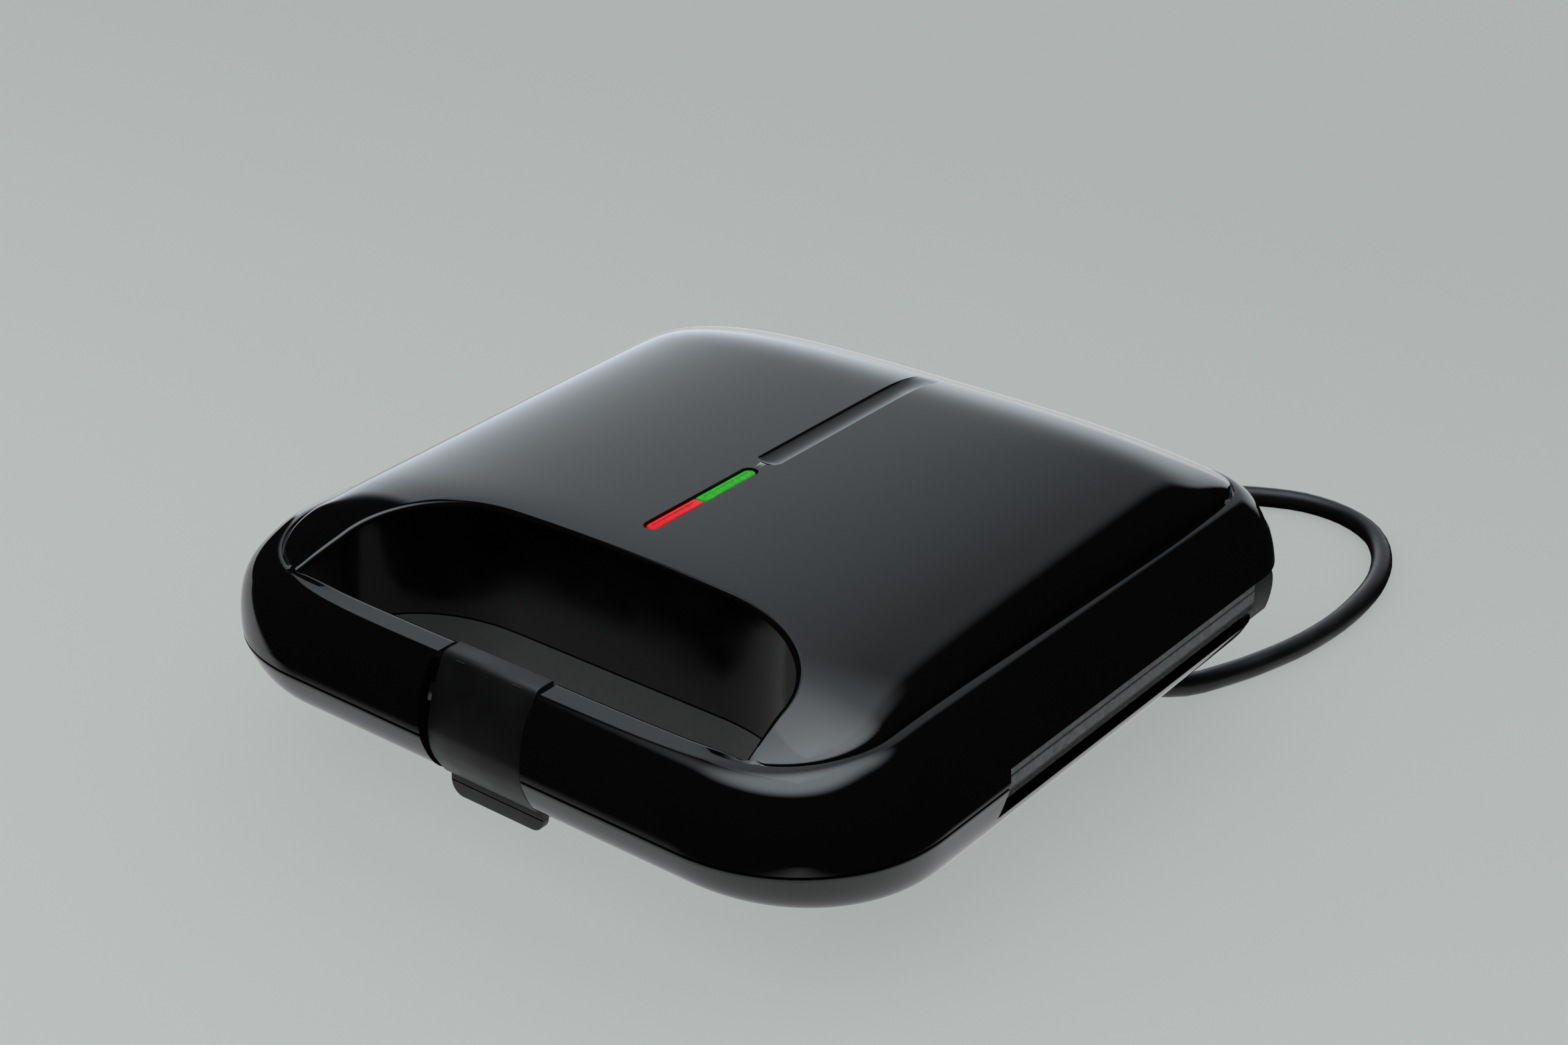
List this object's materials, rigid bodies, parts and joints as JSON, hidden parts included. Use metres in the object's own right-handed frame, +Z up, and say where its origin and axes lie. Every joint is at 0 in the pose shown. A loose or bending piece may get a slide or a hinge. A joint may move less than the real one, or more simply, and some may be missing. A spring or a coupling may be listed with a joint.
{
  "type": "sandwich toaster",
  "caption": "Black electric sandwich toaster with a hinged gloss lid, hand opening in the front bar, strap latch, red and green indicators and triangular pocket plates.",
  "frame": {"origin": "centre of the footprint on the table, under the feet; the footprint is that of the two housings", "axes": "+Z up, the handle bar and latch face -Y, +X to the right as seen from the front"},
  "size_m": [0.228, 0.3599, 0.0849],
  "materials": {
    "gloss_black_shell": "moulded gloss black",
    "satin_casing": "fine textured dark grey",
    "nonstick_cast": "black non-stick coating on cast aluminium",
    "heater_sheath": "oxidised steel sheath",
    "tinplate": "bright sheet",
    "steel_pins": "plain steel",
    "rubber_black": "soft matte",
    "cord_black": "smooth PVC sheath",
    "white_terminal": "heat resistant",
    "wire_sleeve": "braided sleeve",
    "thermostat_metal": "plain",
    "lamp_glass": "clear amber",
    "red_plastic": "translucent red",
    "green_plastic": "translucent green",
    "latch_plastic": "fine matte black",
    "plug_metal": "nickel-bright pins"
  },
  "bodies": {
    "base": {"lower_housing": "gloss_black_shell", "lower_casing": "satin_casing", "lower_cooking_plate": "nonstick_cast", "lower_heater": "heater_sheath", "lower_reflector": "tinplate", "lower_plate_screws": "steel_pins", "base_screws": "steel_pins", "hinge_pins": "steel_pins", "rubber_feet": "rubber_black", "strain_relief": "cord_black", "mains_cord": "cord_black", "cord_coil": "cord_black", "plug": "cord_black", "plug_pins": "plug_metal", "terminal_block": "white_terminal", "cord_clamp": "white_terminal", "base_wiring": "wire_sleeve"},
    "lid": {"upper_housing": "gloss_black_shell", "upper_casing": "satin_casing", "upper_cooking_plate": "nonstick_cast", "upper_heater": "heater_sheath", "upper_reflector": "tinplate", "upper_plate_screws": "steel_pins", "lid_screws": "steel_pins", "thermostat": "thermostat_metal", "thermal_fuse": "thermostat_metal", "lamp_holder": "white_terminal", "neon_lamps": "lamp_glass", "red_lens": "red_plastic", "green_lens": "green_plastic", "lid_wiring": "wire_sleeve", "latch_pin": "steel_pins"},
    "latch": {"latch": "latch_plastic"}
  },
  "joints": [
    {"name": "lid_hinge", "type": "hinge", "parent": "base", "child": "lid", "pos_m": [0, 0.1021, 0.0372], "axis": [-1, 0, 0], "range_deg": [0, 100]},
    {"name": "latch_hinge", "type": "hinge", "parent": "lid", "child": "latch", "pos_m": [0, -0.1079, 0.0566], "axis": [-1, 0, 0], "range_deg": [0, 60]}
  ]
}
